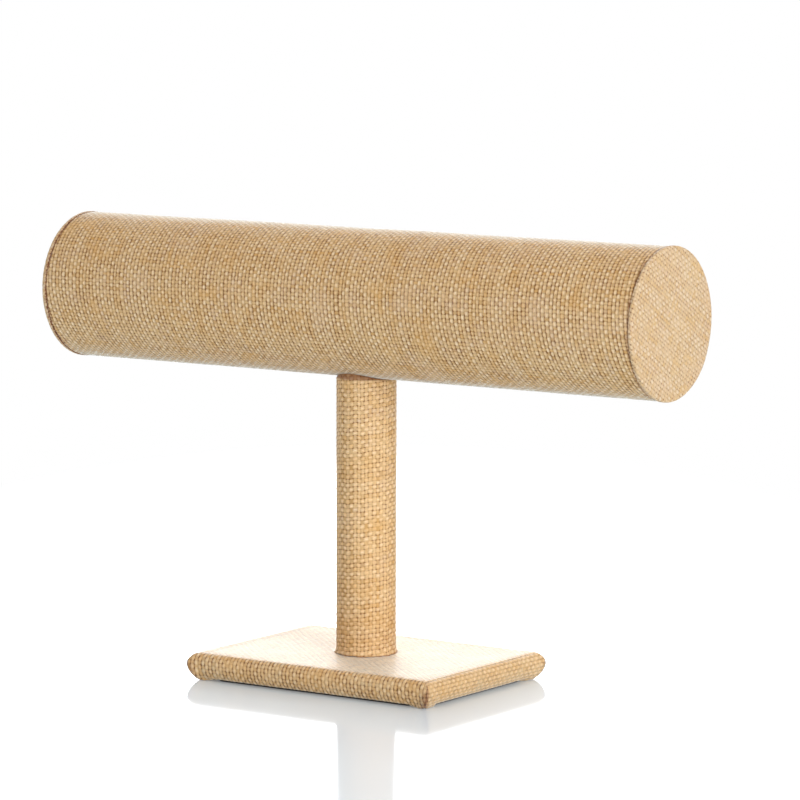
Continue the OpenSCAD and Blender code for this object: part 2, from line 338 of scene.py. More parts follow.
    # The painted gap shade is halved where the mesh marks it as eased
    gapShadeEase = tree.nodes.new("ShaderNodeAttribute")
    gapShadeEase.attribute_name = "gapShadeEase"
    gapShading = calc(tree, "MULTIPLY", gapShading, between(tree, gapShadeEase.outputs["Fac"], 0.0, 1.0, 1.0, 0.5, "LINEAR"))
    colour = mixColour(tree, gapShading, colour, look["gapShade"])
    blotch = grainy(tree, place, look["patch"], 3.0, 0.6)
    colour = mixColour(tree, between(tree, blotch, 0.50, 0.72, 0.0, 0.34), colour, look["golden"])
    colour = mixColour(tree, between(tree, blotch, 0.48, 0.30, 0.0, 0.22), colour, look["rosy"])
    # Painted shade from the mesh: folds, creases, and the lines along seams and round the post's foot
    paintedShade = tree.nodes.new("ShaderNodeAttribute")
    paintedShade.attribute_name = "paintedShade"
    colour = mixColour(tree, paintedShade.outputs["Fac"], colour, look["paintedShade"], "MULTIPLY")
    tree.links.new(colour, shader.inputs["Base Color"])

    rough = calc(tree, "MULTIPLY_ADD", lightFibre, 0.2, look["rough"])
    tree.links.new(rough, shader.inputs["Roughness"])
    shader.inputs["Specular IOR Level"].default_value = look["gloss"]
    shader.inputs["Sheen Weight"].default_value = look["sheen"]
    shader.inputs["Sheen Roughness"].default_value = look["sheenRough"]
    shader.inputs["Sheen Tint"].default_value = look["sheenTint"]
    shader.inputs["Coat Weight"].default_value = look["coat"]
    shader.inputs["Coat Roughness"].default_value = look["coatRough"]

    fibre = mixColour(tree, lightOver, darkFibre, lightFibre)
    relief = calc(tree, "MULTIPLY_ADD", fibre, 0.5, height)
    bump = tree.nodes.new("ShaderNodeBump")
    bump.inputs["Strength"].default_value = 1.0
    bump.inputs["Distance"].default_value = look["bump"]
    tree.links.new(relief, bump.inputs["Height"])
    tree.links.new(bump.outputs[0], shader.inputs["Normal"])
    return material


barCloth = {
    "threadsAlong": 160,     # cream threads, round the bar
    "threadsRound": 122,     # tan threads, along the bar
    "steps": 2,              # points across each thread
    "relief": 0.17 * mm,     # height of the threads
    "radius": 29.25 * mm,
    "edgeRound": 0.5 * mm,
    "turnIn": 5.0 * mm,
    "lean": 0.105,           # how far the cream threads lean, along per round
    "lapEnd": 58.0,          # degrees from straight down, towards the back
    "lapAngle": 19.8,        # over which the cloth climbs over itself
    "lap": 10 * mm,
    "thick": 0.7 * mm,
    "hidden": 3,             # threads under the lap
    "soft": 0.12 * mm,       # how unevenly the cloth lies
    "seamShade": 0.80,            # darkness of the painted shade line along each fold
}


def flatUnit(rows, columns, width, height, left=0.0, bottom=0.0):
    along = np.linspace(0, width, rows)[:, None] + np.zeros((1, columns)) + left
    across = np.linspace(0, height, columns)[None, :] + np.zeros((rows, 1)) + bottom
    return np.stack([along, across], -1)


# Cloth wrapped round the bar, lapped at the lower back and turned in at both ends
def makeBarCover(cloth, material):
    pitch = coverLength / cloth["threadsAlong"]
    bend = cloth["edgeRound"]
    straight = coverLength / 2 - bend
    # The fold at each end, as distance gone and place: round the edge, then in behind the disc
    turns = np.radians([0, 30, 60, 90, 90, 90])
    out = bend * np.sin(turns)
    inward = bend * (1 - np.cos(turns)) + np.array([0, 0, 0, 0, 0.2, 1]) * cloth["turnIn"]
    gone = np.concatenate([[0], np.cumsum(np.hypot(np.diff(out), np.diff(inward)))])
    steps = cloth["steps"]
    # Enough threads to reach both ends where they lean most
    half = int((straight + cloth["lean"] * cloth["radius"] * 3.9) / pitch * steps) + len(out) + 1
    u = np.arange(-half, half + 1) / steps
    v = np.arange(-cloth["hidden"] * steps, cloth["threadsRound"] * steps + 1) / steps
    shape = (len(u), len(v))
    wanderU = weave["wander"] * smoothField(shape, (shape[0] / 3, shape[1] / 26), 11)
    wanderV = weave["wander"] * smoothField(shape, (shape[0] / 26, shape[1] / 3), 12)
    slub = 1 + weave["slub"] * smoothField(shape, (shape[0] / 2, shape[1] / 16), 13)
    threadV = v[None, :] + np.zeros(shape)
    edge = np.clip((v[-1] - v) / 4, 0, 1) * np.clip((v - v[0]) / 4, 0, 1)
    angle = np.radians(cloth["lapEnd"] + (threadV + wanderV * edge[None, :]) / cloth["threadsRound"] * 360)
    # Cream threads lean a little, and the fold is square to the bar at both ends
    leaned = cloth["lean"] * cloth["radius"] * (angle - 1.5 * math.pi)
    free = (u[:, None] + wanderU) * pitch + leaned
    row = np.arange(shape[0])[:, None]
    beyond = np.maximum(row - (free < straight).sum(0), (free <= -straight).sum(0) - 1 - row)
    stage = np.clip(beyond, 0, len(out) - 1)
    along = np.where(beyond < 0, free, np.sign(free) * (straight + gone[stage]))
    threadU = u[:, None] + (along - free) / pitch
    x = np.where(beyond < 0, free, np.sign(free) * (straight + out[stage]))
    turn = np.where(beyond < 0, 0, turns[stage])
    pressed = np.where(stage > 3, 0.0, 1.0)
    climb = np.clip(1 - (v[-1] - v) * 360 / cloth["threadsRound"] / cloth["lapAngle"], 0, 1)
    climb = cloth["thick"] * climb * climb * (3 - 2 * climb)
    relief = cloth["relief"] * slub * pressed * weaveHeight(threadU, threadV)
    soft = cloth["soft"] * smoothField(shape, (10, 9), 14)
    radius = cloth["radius"] - inward[stage] + climb[None, :] + soft + np.cos(turn) * relief
    x = x + np.sign(along) * np.sin(turn) * relief
    # The cut edge goes down to the cloth below it
    under = np.stack([x[:, -1], angle[:, -1], radius[:, -1] - 0.8 * cloth["thick"]], -1)
    table = np.stack([x, angle, radius], -1)
    table = np.concatenate([table, under[:, None, :]], 1)
    threads = np.stack([threadU, threadV], -1)
    threads = np.concatenate([threads, threads[:, -1:, :] + np.array([0, 0.45])], 1)
    points = np.stack([
        table[..., 0],
        table[..., 2] * np.sin(table[..., 1]),
        barAxis - table[..., 2] * np.cos(table[..., 1])], -1)
    rows, columns = table.shape[:2]
    # A ragged line of painted shade along the fold
    seamShade = np.where(beyond < 0, 0.0, cloth["seamShade"])
    seamShade = seamShade * np.random.default_rng(15).uniform(0.1, 1, (1, shape[1]))
    seamShade = np.concatenate([seamShade, seamShade[:, -1:]], 1)
    inside = beyond < len(out)
    inside = np.concatenate([inside, inside[:, -1:]], 1)
    faces = gridFaces(rows, columns)
    faces = faces[inside.ravel()[faces].all(1)]
    piece = makePiece(
        "bar_wrap", *onlyUsed(faces, points, threads, flatUnit(rows, columns, 1.0, 0.68), seamShade), material)
    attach(piece, "root")
    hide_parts("bar_cover")


endCloth = {
    "pitch": 1.50 * mm,      # between threads
    "steps": 4,
    "relief": 0.12 * mm,
    "edgeRound": 0.8 * mm,
    "backRound": 0.5 * mm,
    "turnIn": 8.5 * mm,
    "soft": 0.12 * mm,
    "seamShade": 0.95,
    "seamDepth": 1.3 * mm,   # where the painted shade line begins, behind the face
    "ragged": 0.5 * mm,
    "turns": {"left": -14.0, "right": 59.0},   # the weave's slant, in degrees
}


# Cloth over an end disc: flat face, rounded rim, turned in behind
def makeEndCover(side, cloth, material, seed):
    sign = 1 if side == "right" else -1
    low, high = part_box(side + "_end_cover")
    faceX = high.x if sign > 0 else low.x
    backX = low.x if sign > 0 else high.x
    flat = (high.z - low.z) / 2 - cloth["edgeRound"]
    backRound = cloth["backRound"]
    straight = abs(faceX - backX) - cloth["edgeRound"] - backRound
    arc = cloth["edgeRound"] * math.pi / 2
    reach = flat + arc + straight + backRound * math.pi / 2 + cloth["turnIn"]
    half = int(reach / cloth["pitch"] * cloth["steps"]) + 1
    line = np.arange(-half, half + 1) / cloth["steps"]
    shape = (len(line), len(line))
    u = line[:, None] + np.zeros(shape)
    v = line[None, :] + np.zeros(shape)
    wanderU = weave["wander"] * smoothField(shape, (shape[0] / 6, shape[1] / 40), seed)
    wanderV = weave["wander"] * smoothField(shape, (shape[0] / 40, shape[1] / 6), seed + 1)
    slub = 1 + weave["slub"] * smoothField(shape, (shape[0] / 4, shape[1] / 30), seed + 2)
    slant = math.radians(cloth["turns"][side])
    flatX = (u + wanderU) * cloth["pitch"]
    flatY = (v + wanderV) * cloth["pitch"]
    a = flatX * math.cos(slant) - flatY * math.sin(slant)
    b = flatX * math.sin(slant) + flatY * math.cos(slant)
    span = np.hypot(a, b)
    past = span - flat
    turn = np.clip(past / cloth["edgeRound"], 0, math.pi / 2)
    down = np.clip(past - arc, 0, straight)
    behind = past - arc - straight
    backTurn = np.clip(behind / backRound, 0, math.pi / 2)
    inward = np.maximum(behind - backRound * math.pi / 2, 0)
    radius = np.minimum(span, flat) + cloth["edgeRound"] * np.sin(turn)
    radius = radius - backRound * (1 - np.cos(backTurn)) - inward
    depth = cloth["edgeRound"] * (1 - np.cos(turn)) + down + backRound * np.sin(backTurn)
    tilt = turn + backTurn
    relief = cloth["relief"] * slub * weaveHeight(u, v, evenWeave)
    soft = cloth["soft"] * smoothField(shape, (7, 7), seed + 3)
    radius = radius + np.sin(tilt) * relief
    x = faceX - sign * depth + sign * np.cos(tilt) * (relief + soft)
    unit = np.maximum(span, 1e-9)
    points = np.stack([x, sign * a / unit * radius, barAxis + b / unit * radius], -1)
    faces = gridFaces(*shape)
    faces = faces[(span.ravel()[faces] < reach).all(1)]
    threads = np.stack([u, v], -1)
    flatMap = threads / (2 * half / cloth["steps"]) + 0.5
    # A ragged line of painted shade where the rim meets the bar
    ragged = np.random.default_rng(seed + 4).uniform(0, 1, shape) * cloth["ragged"]
    seamShade = cloth["seamShade"] * np.clip((depth - cloth["seamDepth"] - ragged) / (0.2 * mm), 0, 1)
    piece = makePiece(side + "_end_wrap", *onlyUsed(faces, points, threads, flatMap, seamShade), material)
    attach(piece, "root")
    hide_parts(side + "_end_cover")


postCloth = {
    "pitch": 1.68 * mm,      # cream threads, round the post
    "lean": 0.10,            # how much they rise towards the right
    "threadsRound": 48,
    "steps": 4,
    "relief": 0.16 * mm,
    "radius": 11.8 * mm,
    "lapEnd": 128.5,         # degrees from the bar's right end, at the back
    "lapAngle": 48.5,
    "lap": 10 * mm,
    "thick": 0.6 * mm,
    "hidden": 3,
    "soft": 0.10 * mm,
    "flare": 0.55 * mm,
    "flareHeight": 2.6 * mm,
    "fray": 0.9 * mm,        # how far single threads stick out at the foot
    "frayHeight": 1.0 * mm,
    "saddle": 29.5 * mm,     # radius that the top is cut to
    # painted shade under the bar starts this far below the bar's axis
    "saddleShadeLine": 29.15 * mm,
    "footShadeLine": 0.1 * mm,    # painted shade line round the foot, above the base
    "shadeLineWidth": 0.5 * mm,
}


# Sleeve round the post, flared at its uneven foot and cut to the bar
def makePostCover(cloth, material):
    steps = cloth["steps"]
    low = barAxis - cloth["saddle"]
    # Enough threads for the lean and for the saddle's high sides
    spare = cloth["lean"] * cloth["radius"] * 4.5 / cloth["pitch"]
    rise = (low - baseTop + 4 * mm) / cloth["pitch"]
    u = np.arange(-int(spare * steps), int((rise + spare) * steps)) / steps
    v = np.arange(-cloth["hidden"] * steps, cloth["threadsRound"] * steps + 1) / steps
    shape = (len(u), len(v))
    wanderU = weave["wander"] * smoothField(shape, (shape[0] / 6, shape[1] / 40), 31)
    wanderV = weave["wander"] * smoothField(shape, (shape[0] / 40, shape[1] / 6), 32)
    slub = 1 + weave["slub"] * smoothField(shape, (shape[0] / 4, shape[1] / 30), 33)
    threadV = v[None, :] + np.zeros(shape)
    edge = np.clip((v[-1] - v) / 3, 0, 1) * np.clip((v - v[0]) / 3, 0, 1)
    angle = np.radians(cloth["lapEnd"] + (threadV + wanderV * edge[None, :]) / cloth["threadsRound"] * 360)
    top = barAxis - np.sqrt(cloth["saddle"] ** 2 - (cloth["radius"] * np.sin(angle)) ** 2)
    uneven = 0.22 * mm * smoothField((1, len(v)), (1, len(v) / 5), 34)
    foot = baseTop + 0.12 * mm + uneven
    # Cream threads rise a little, and the cloth is trimmed at the foot and along the bar
    free = (u[:, None] + wanderU) * cloth["pitch"]
    leaned = cloth["lean"] * cloth["radius"] * (angle - 1.5 * math.pi)
    z = np.clip(foot + free + leaned, foot + np.zeros(shape), top)
    threadU = u[:, None] + (z - foot - leaned - free) / cloth["pitch"]
    inside = (z > foot) & (z < top)
    height = z - baseTop
    flare = cloth["flare"] * np.clip(1 - height / cloth["flareHeight"], 0, 1) ** 2
    frayed = np.clip(smoothField((1, len(v)), (1, len(v) / 3), 36), 0, 1) ** 2
    flare = flare + cloth["fray"] * frayed * np.clip(1 - height / cloth["frayHeight"], 0, 1)
    climb = np.clip(1 - (v[-1] - v) * 360 / cloth["threadsRound"] / cloth["lapAngle"], 0, 1)
    climb = cloth["thick"] * climb * climb * (3 - 2 * climb)
    nearTop = np.clip(1 - (top - z) / (0.9 * mm), 0, 1)
    relief = cloth["relief"] * slub * weaveHeight(threadU, threadV)
    soft = cloth["soft"] * smoothField((1, len(v)), (1, 7), 35)
    radius = cloth["radius"] + flare + climb[None, :] + relief + soft - 0.5 * mm * nearTop ** 2
    table = np.stack([radius, angle, z], -1)
    under = table[:, -1:, :] - np.array([0.8 * cloth["thick"], 0, 0])
    table = np.concatenate([table, under], 1)
    threads = np.stack([threadU, threadV], -1)
    threads = np.concatenate([threads, threads[:, -1:, :] + np.array([0, 0.45])], 1)
    # The foot's cut edge turns in towards the core
    inner = table[:1] - np.array([0.7 * mm, 0, 0])
    table = np.concatenate([inner, table], 0)
    threads = np.concatenate([threads[:1] - np.array([0.4, 0]), threads], 0)
    points = np.stack([
        table[..., 0] * np.cos(table[..., 1]), table[..., 0] * np.sin(table[..., 1]), table[..., 2]], -1)
    count = table.shape[:2]
    inside = np.concatenate([inside, inside[:, -1:]], 1)
    inside = np.concatenate([np.ones_like(inside[:1]), inside], 0)
    faces = gridFaces(*count)[:, ::-1]
    faces = faces[inside.ravel()[faces].any(1)]
    # Painted shade lines round the foot and under the bar
    aboveFoot = (table[..., 2] - baseTop - cloth["footShadeLine"]) / cloth["shadeLineWidth"]
    belowBar = (barAxis - cloth["saddleShadeLine"] - table[..., 2]) / cloth["shadeLineWidth"]
    seamShade = np.maximum(0.85 * np.clip(1 - aboveFoot, 0, 1), 0.7 * np.clip(1 - belowBar, 0, 1))
    piece = makePiece(
        "post_sleeve", *onlyUsed(faces, points, threads, flatUnit(*count, 1.0, 0.69), seamShade), material)
    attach(piece, "root")
    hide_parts("post_cover")


baseCloth = {
    "threadsWide": 63,       # cream threads, front to back
    "threadsDeep": 49,       # tan threads, side to side
    "threadsDown": 16,       # over the edge and under
    "spare": 4,              # threads past each corner, taken up by the mitre
    "steps": 3,
    "relief": 0.17 * mm,
    "topRelief": 0.07 * mm,  # the top is pressed flatter
    "width": 115.0 * mm,
    "depth": 84.0 * mm,
    "edgeRound": 3.8 * mm,
    "tuck": 4.4 * mm,
    "hemHeight": 1.1 * mm,
    "downPitch": 1.6 * mm,
    "foldReach": 8.0 * mm,
    "foldOut": 0.9 * mm,
    "foldStep": 0.2 * mm,
    "foldHeight": 0.2 * mm,
    "foldShade": 4.0 * mm,   # how far the shade reaches from a folded corner
    "crease": 0.45 * mm,
    "gather": 0.30 * mm,
    "gatherWidth": 1.15 * mm,
    "soft": 0.10 * mm,
}


# Edge of the base: outward from the flat top's end, and height, at each distance down
def edgeLine(down, cloth, outset, tuck, bottom):
    tip = baseTop - cloth["edgeRound"]
    upper = cloth["edgeRound"]
    lower = (tip ** 2 + tuck ** 2) / (2 * tuck)
    last = math.asin((tip - bottom) / lower)
    first = np.clip(down / upper, 0, math.pi / 2)
    second = np.clip((down - upper * math.pi / 2) / lower, 0, last)
    under = np.maximum(down - upper * math.pi / 2 - lower * last, 0)
    out = (upper + outset) * np.sin(first) - lower * (1 - np.cos(second)) - under
    z = tip + (upper + outset) * np.cos(first) - (lower + outset) * np.sin(second)
    flatUnder = under > 0
    normalOut = np.where(flatUnder, 0, np.where(second > 0, np.cos(second), np.sin(first)))
    normalUp = np.where(flatUnder, -1, np.where(second > 0, -np.sin(second), np.cos(first)))
    return out, z, normalOut, normalUp


# Cloth over the base: one sheet on top and four flaps that meet at mitred, folded corners
def makeBaseCover(cloth, material):
    steps = cloth["steps"]
    halfX = cloth["width"] / 2 - cloth["edgeRound"]
    halfY = cloth["depth"] / 2 - cloth["edgeRound"]
    pitchX = 2 * halfX / cloth["threadsWide"]
    pitchY = 2 * halfY / cloth["threadsDeep"]
    parts = []

    # The flat top
    u = np.arange(cloth["threadsWide"] * steps + 1) / steps
    v = np.arange(cloth["threadsDeep"] * steps + 1) / steps
    shape = (len(u), len(v))
    threadU, threadV = u[:, None] + np.zeros(shape), v[None, :] + np.zeros(shape)
    inside = np.clip(np.minimum(threadU, cloth["threadsWide"] - threadU) / 3, 0, 1)
    inside = inside * np.clip(np.minimum(threadV, cloth["threadsDeep"] - threadV) / 3, 0, 1)
    wanderU = weave["wander"] * inside * smoothField(shape, (shape[0] / 4.5, shape[1] / 30), 51)
    wanderV = weave["wander"] * inside * smoothField(shape, (shape[0] / 30, shape[1] / 4.5), 52)
    slub = 1 + weave["slub"] * inside * smoothField(shape, (shape[0] / 3, shape[1] / 20), 53)
    x = (threadU + wanderU) * pitchX - halfX
    y = (threadV + wanderV) * pitchY - halfY
    flatness = cloth["topRelief"] * inside + cloth["relief"] * (1 - inside)
    relief = flatness * slub * weaveHeight(threadU, threadV)
    soft = cloth["soft"] * inside * smoothField(shape, (8, 7), 54)
    points = np.stack([x, y, baseTop + relief + soft], -1)
    plain = np.zeros(shape)
    parts.append((points, np.stack([threadU, threadV], -1), plain, plain, gridFaces(*shape)))

    # The flaps: front, right, back, left, each in its own direction
    down = np.arange(cloth["threadsDown"] * steps + 1) / steps
    for turn in range(4):
        endwise = turn % 2 == 1
        half = halfY if endwise else halfX
        far = halfX if endwise else halfY
        pitch = pitchY if endwise else pitchX
        count = cloth["threadsDeep"] if endwise else cloth["threadsWide"]
        along = np.arange(-cloth["spare"] * steps, (count + cloth["spare"]) * steps + 1) / steps
        shape = (len(along), len(down))
        alongAt, downAt = along[:, None] + np.zeros(shape), down[None, :] + np.zeros(shape)
        place = alongAt * pitch - half
        outMain, zMain, sideMain, upMain = edgeLine(
            downAt * cloth["downPitch"], cloth, 0, cloth["tuck"], cloth["hemHeight"])
        outFold, zFold, sideFold, upFold = edgeLine(
            downAt * cloth["downPitch"], cloth, cloth["foldStep"],
            cloth["tuck"] + cloth["foldStep"] - cloth["foldOut"], cloth["foldHeight"])
        toCorner = half + outMain - np.abs(place)
        isLow = np.clip((downAt * cloth["downPitch"] - cloth["edgeRound"]) / cloth["edgeRound"], 0, 1)
        folded = np.clip(1 - toCorner / cloth["foldReach"], 0, 1)
        folded = np.clip(folded * 2.2, 0, 1) * isLow
        folded = folded * folded * (3 - 2 * folded)
        out = outMain + (outFold - outMain) * folded
        z = zMain + (zFold - zMain) * folded
        normalOut = sideMain + (sideFold - sideMain) * folded
        normalUp = upMain + (upFold - upMain) * folded
        corner = half + out
        place = np.clip(place, -corner, corner)
        toCorner = corner - np.abs(place)
        # Small gathers beside each corner, and the crease where the flaps meet
        gathers = cloth["gather"] * folded * np.sin(toCorner / cloth["gatherWidth"] + turn)
        crease = np.clip(1 - toCorner / (0.9 * mm), 0, 1) * np.clip(downAt / 2, 0, 1)
        if endwise:
            gathers = gathers * 0.35
        if endwise:
            threadU = (cloth["threadsWide"] + downAt) if turn == 1 else -downAt
            threadV = alongAt if turn == 1 else count - alongAt
        else:
            threadU = alongAt if turn == 0 else count - alongAt
            threadV = -downAt if turn == 0 else cloth["threadsDeep"] + downAt
        thickened = smoothField(shape, (shape[0] / 3, 2), 55 + turn) * np.clip(downAt / 2, 0, 1)
        slub = 1 + weave["slub"] * thickened
        lift = cloth["relief"] * slub * weaveHeight(threadU, threadV)
        lift = lift * np.clip(toCorner / (0.8 * mm), 0, 1) + gathers - cloth["crease"] * crease
        reach = far + out + normalOut * lift
        z = np.maximum(z + normalUp * lift, 0.05 * mm)
        facing = math.radians(-90 + 90 * turn)
        outX, outY = math.cos(facing), math.sin(facing)
        alongX, alongY = -outY, outX
        points = np.stack([
            outX * reach + alongX * place, outY * reach + alongY * place, z], -1)
        # Painted shade in the folded corners, weaker on the ends, and along the crease
        shade = 0.75 * folded * np.clip(1 - toCorner / cloth["foldShade"], 0, 1)
        shade = shade * (0.25 if endwise else 1.0) + 0.5 * crease
        # The painted gap shade is eased over both ends, not over the front and the back
        endsEased = np.full(shape, 1.0 if endwise else 0.0) * np.clip(downAt / 2, 0, 1)
        parts.append((points, np.stack([threadU, threadV], -1), shade, endsEased, gridFaces(*shape)))

    start, points, threads, paintedShades, gapShadeEase, faces = 0, [], [], [], [], []
    for spot, thread, paintedShade, endsEased, face in parts:
        points.append(spot.reshape(-1, 3))
        threads.append(thread.reshape(-1, 2))
        paintedShades.append(paintedShade.ravel())
        gapShadeEase.append(endsEased.ravel())
        faces.append(face + start)
        start += len(points[-1])
    threads = np.concatenate(threads)
    size = max(np.ptp(threads[:, 0]), np.ptp(threads[:, 1]))
    flatMap = (threads - threads.min(0)) / size
    piece = makePiece(
        "base_wrap", np.concatenate(faces), np.concatenate(points), threads, flatMap,
        np.concatenate(paintedShades), material, np.concatenate(gapShadeEase))
    work = bmesh.new()
    work.from_mesh(piece.data)
    bmesh.ops.remove_doubles(work, verts=work.verts, dist=2e-6)
    bmesh.ops.dissolve_degenerate(work, edges=work.edges, dist=1e-6)
    bmesh.ops.recalc_face_normals(work, faces=work.faces)
    work.to_mesh(piece.data)
    work.free()
    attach(piece, "root")
    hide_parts("base_cover")


cloths = {
    "bar": makeCloth("bar cloth", 3.0, clothLook | {"sheen": 0.75, "sheenTint": (0.86, 0.97, 1.0, 1.0)}),
    "end": makeCloth("end cloth", 21.0, clothLook | {
        "light": srgb(219, 197, 166), "dark": srgb(206, 179, 144), "lightWarm": srgb(210, 179, 138),
        "darkWarm": srgb(196, 162, 120), "golden": srgb(206, 168, 112), "sunkShade": 0.84, "sunkTop": 0.62,
        "lightEdgeShade": 0.06, "darkEdgeShade": 0.20, "sheen": 0.35, "sheenRough": 0.3, "uneven": 0.9,
        "highlightShare": 0.0}, evenWeave),
    "post": makeCloth("post cloth", 42.0, clothLook | {
        "light": srgb(236, 201, 152), "dark": srgb(232, 197, 149), "lightWarm": srgb(232, 190, 132),
        "sunkShade": 0.82, "sunkTop": 0.64, "lightEdgeShade": 0.10, "darkEdgeShade": 0.42, "through": 0.4, "diveShade": 0.22,
        "highlightShare": 0.24, "cellTone": 0.38, "uneven": 0.8, "gapShade": srgb(112, 60, 12),
        "sheen": 0.35, "sheenRough": 0.3}),
    "base": makeCloth("base cloth", 63.0, clothLook | {
        "light": srgb(230, 194, 144), "dark": srgb(218, 178, 128), "diveShade": 0.08, "darkEdgeShade": 0.56,
        "through": 0.35, "coat": 0.27, "sheen": 0.85, "sheenRough": 0.32, "bump": 0.11 * mm, "uneven": 0.7,
        "sheenTint": (0.94, 1.0, 0.98, 1.0), "highlightShare": 0.2, "rosy": srgb(206, 184, 146)}),
}
print("cloth materials made")
makeBarCover(barCloth, cloths["bar"])
print("bar wrap made")
makeEndCover("left", endCloth, cloths["end"], 21)
makeEndCover("right", endCloth, cloths["end"], 26)
print("end wraps made")
makePostCover(postCloth, cloths["post"])
print("post sleeve made")
makeBaseCover(baseCloth, cloths["base"])
print("base wrap made")


liningLook = {
    "colour": srgb(26, 20, 20),
    "fibre": srgb(54, 44, 42),
    "fuzz": 2600.0,          # fibres per metre
    "bump": 0.3 * mm,
    "rough": 0.95,
    "sheen": 0.3,
}


# Dark felt with short fibres
def makeFelt(name, look):
    material, tree, shader = newMaterial(name)
    place = tree.nodes.new("ShaderNodeTexCoord").outputs["Object"]
    fuzz = grainy(tree, place, look["fuzz"], 4.0, 0.7)
    colour = mixColour(tree, between(tree, fuzz, 0.4, 0.7), look["colour"], look["fibre"])
    tree.links.new(colour, shader.inputs["Base Color"])
    shader.inputs["Roughness"].default_value = look["rough"]
    shader.inputs["Sheen Weight"].default_value = look["sheen"]
    bump = tree.nodes.new("ShaderNodeBump")
    bump.inputs["Distance"].default_value = look["bump"]
    tree.links.new(fuzz, bump.inputs["Height"])
    tree.links.new(bump.outputs[0], shader.inputs["Normal"])
    return material


lining = {
    "cut": 7.8 * mm,         # across each cut corner
    "round": 0.3 * mm,
    "uneven": 0.10 * mm,     # how far its edge strays
    "spacing": 1.0 * mm,
}


# Thin felt under the base, its corners cut off and its edges worn round
def makeLining(form, material):
    low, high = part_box("base_lining")
    x, y, cut, thick = high.x, high.y, form["cut"], high.z
    corners = np.array([
        (x, cut - y), (x, y - cut), (x - cut, y), (cut - x, y), (-x, y - cut), (-x, cut - y), (cut - x, -y),
        (x - cut, -y)])
    outline = []
    for start, end in zip(corners, np.roll(corners, -1, 0)):
        steps = max(2, round(float(np.hypot(*(end - start))) / form["spacing"]))
        outline.append(start + (end - start) * np.arange(steps)[:, None] / steps)
    outline = np.concatenate(outline)
    count = len(outline)
    stray = np.random.default_rng(71).uniform(0, 1, (count, 1)) * form["uneven"]
    unit = outline / np.hypot(outline[:, :1], outline[:, 1:])
    rounding = form["round"]
    # Rings from the middle of the underside, round the edge, to the middle of the top
    rings = [0.05, 0.35, 0.65, 0.9]
    levels = [(rounding, 0), (0.3 * rounding, 0.3 * rounding), (0, rounding), (0, thick - rounding)]
    levels += [(0.3 * rounding, thick - 0.3 * rounding), (rounding, thick)]
    points = [np.column_stack([outline * share, np.zeros(count)]) for share in rings]
    for inward, z in levels:
        points.append(np.column_stack([outline - unit * (inward + stray), np.full(count, z)]))
    points += [np.column_stack([outline * share, np.full(count, thick)]) for share in rings[::-1]]
    table = np.stack(points)
    turned = np.concatenate([table, table[:, :1]], 1)
    faces = gridFaces(*turned.shape[:2])
    flatMap = turned[..., :2] / (2.2 * x) + 0.5
    piece = makePiece(
        "lining_sheet", faces, turned, flatMap / (1.5 * mm), flatMap, np.zeros(turned.shape[:2]), material)
    work = bmesh.new()
    work.from_mesh(piece.data)
    bmesh.ops.remove_doubles(work, verts=work.verts, dist=1e-6)
    bmesh.ops.holes_fill(work, edges=work.edges, sides=0)
    bmesh.ops.recalc_face_normals(work, faces=work.faces)
    work.to_mesh(piece.data)
    work.free()
    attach(piece, "root")
    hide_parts("base_lining")


makeLining(lining, makeFelt("lining felt", liningLook))
print("lining made")


# Board, card, wood and steel that show only from inside
def makeSolid(name, colour, deepFibreAndShade, scale, stretch, rough, metal=0.0):
    material, tree, shader = newMaterial(name)
    place = tree.nodes.new("ShaderNodeTexCoord").outputs["Object"]
    mapping = tree.nodes.new("ShaderNodeMapping")
    mapping.inputs["Scale"].default_value = stretch
    tree.links.new(place, mapping.inputs["Vector"])
    grain = grainy(tree, mapping.outputs[0], scale, 5.0, 0.65)
    tone = mixColour(tree, between(tree, grain, 0.3, 0.7), deepFibreAndShade, colour)
    tree.links.new(tone, shader.inputs["Base Color"])
    tree.links.new(between(tree, grain, 0.3, 0.7, rough + 0.1, rough - 0.1), shader.inputs["Roughness"])
    shader.inputs["Metallic"].default_value = metal
    bump = tree.nodes.new("ShaderNodeBump")
    bump.inputs["Distance"].default_value = 0.08 * mm
    tree.links.new(grain, bump.inputs["Height"])
    tree.links.new(bump.outputs[0], shader.inputs["Normal"])
    return material


card = makeSolid("tube card", srgb(178, 146, 106), srgb(142, 110, 76), 700.0, (0.3, 1, 1), 0.8)
greyBoard = makeSolid("disc board", srgb(158, 152, 142), srgb(128, 122, 112), 900.0, (1, 1, 1), 0.85)
wood = makeSolid("post wood", srgb(204, 164, 112), srgb(160, 118, 72), 260.0, (1, 1, 0.08), 0.6)
fibreboard = makeSolid("base board", srgb(150, 112, 76), srgb(118, 84, 54), 1100.0, (1, 1, 1), 0.75)
steel = makeSolid("fixing steel", srgb(198, 200, 204), srgb(170, 172, 176), 500.0, (1, 1, 0.2), 0.3, 1.0)
finishes = {
    "bar_tube": card, "left_plug": fibreboard, "right_plug": fibreboard,
    "left_end_board": greyBoard, "right_end_board": greyBoard, "post_core": wood,
    "base_board": fibreboard, "bar_screw": steel, "bar_washer": steel, "base_screw": steel,
}
for nodeName, finish in finishes.items():
    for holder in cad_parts[nodeName].material_slots:
        holder.material = finish
print("inner pieces finished")


floorLook = {
    "half": 9.0,
    "below": 0.04 * mm,      # a hair under the lining
    "colour": srgb(230, 244, 255),
    "rough": 0.09,
    "gloss": 0.5,
    "near": 0.20,            # shaded as it is up to here, from the middle
    "far": 0.30,             # plain white from here
    "haze": 0.15,            # share of plain white up close
    "ahead": 0.42,           # shrinks distances towards the front right, where the reflection falls
    "turn": 34.3,            # that direction, in degrees from the front
}


